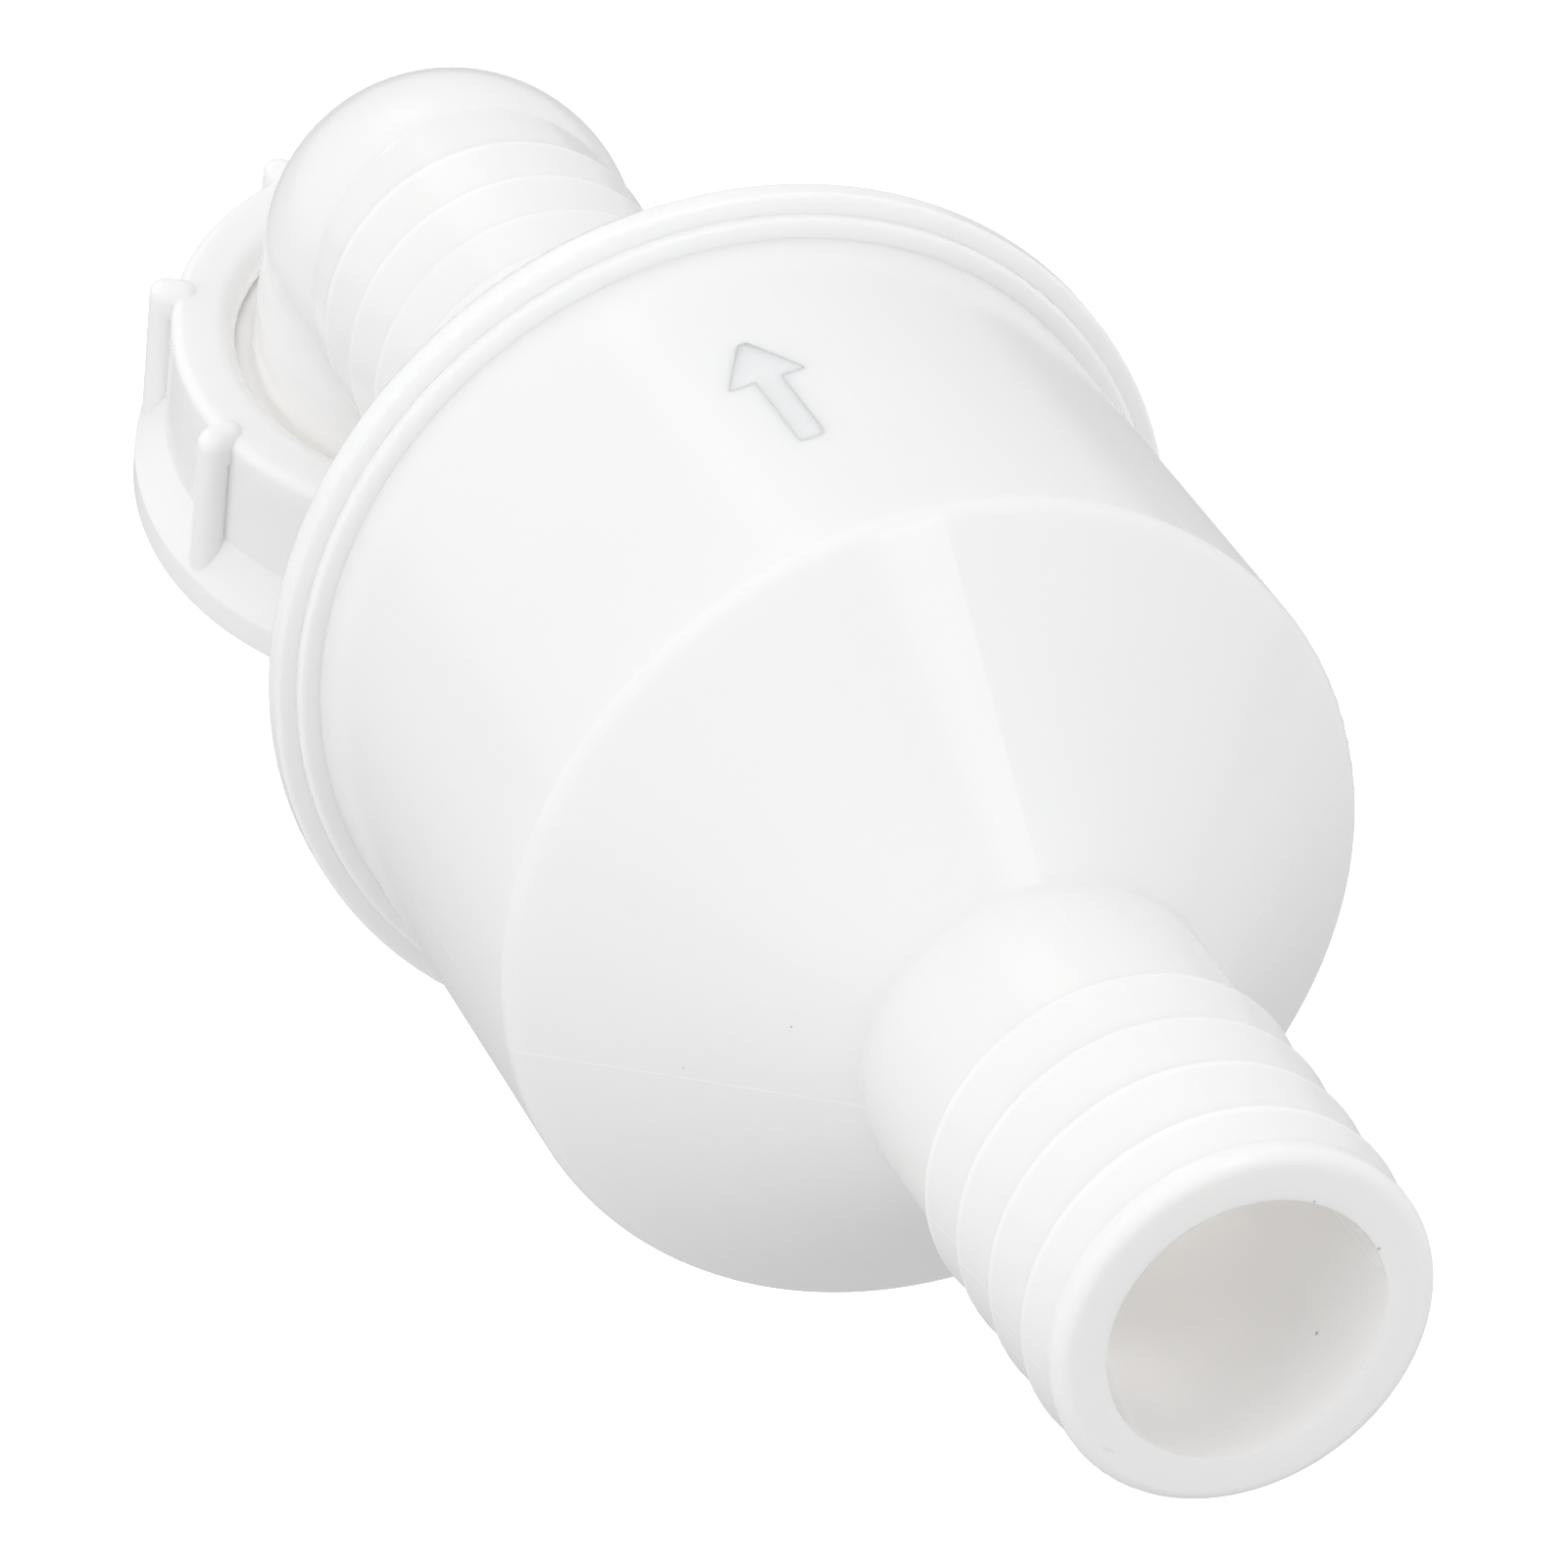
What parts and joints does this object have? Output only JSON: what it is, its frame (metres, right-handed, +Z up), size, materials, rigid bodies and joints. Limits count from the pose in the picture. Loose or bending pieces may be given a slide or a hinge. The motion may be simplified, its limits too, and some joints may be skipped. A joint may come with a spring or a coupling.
{
  "type": "drain non-return valve",
  "caption": "Drain non-return valve with a barbed inlet spigot, a conical ball chamber and an elbow outlet that ends in a loose ribbed union nut.",
  "frame": {"origin": "on the axis of the leg and its union nut, at the lower end of the nut's thread", "axes": "+Y along the valve's axis from the inlet mouth to the elbow, +Z up; the leg runs down from the elbow and its lower end leans to +Y"},
  "size_m": [0.0578, 0.1567, 0.0578],
  "materials": {
    "body_plastic": "satin white moulding",
    "cover_plastic": "satin white moulding",
    "ball_plastic": "smooth pale plastic",
    "elbow_plastic": "glossy white moulding",
    "washer_rubber": "black rubber",
    "nut_plastic": "satin white moulding"
  },
  "bodies": {
    "valve": {"inlet_body": "body_plastic", "outlet_cover": "cover_plastic", "elbow": "elbow_plastic", "sealing_washer": "washer_rubber"},
    "ball": {"check_ball": "ball_plastic"},
    "nut": {"union_nut": "nut_plastic"}
  },
  "joints": [
    {"name": "ball_lift", "type": "slide", "parent": "valve", "child": "ball", "axis": [0, 1, 0], "range_m": [0, 0.0145]},
    {"name": "nut_turn", "type": "hinge", "parent": "valve", "child": "nut", "pos_m": [0, 0, 0], "axis": [0, -0.2756, 0.9613], "continuous": true}
  ]
}
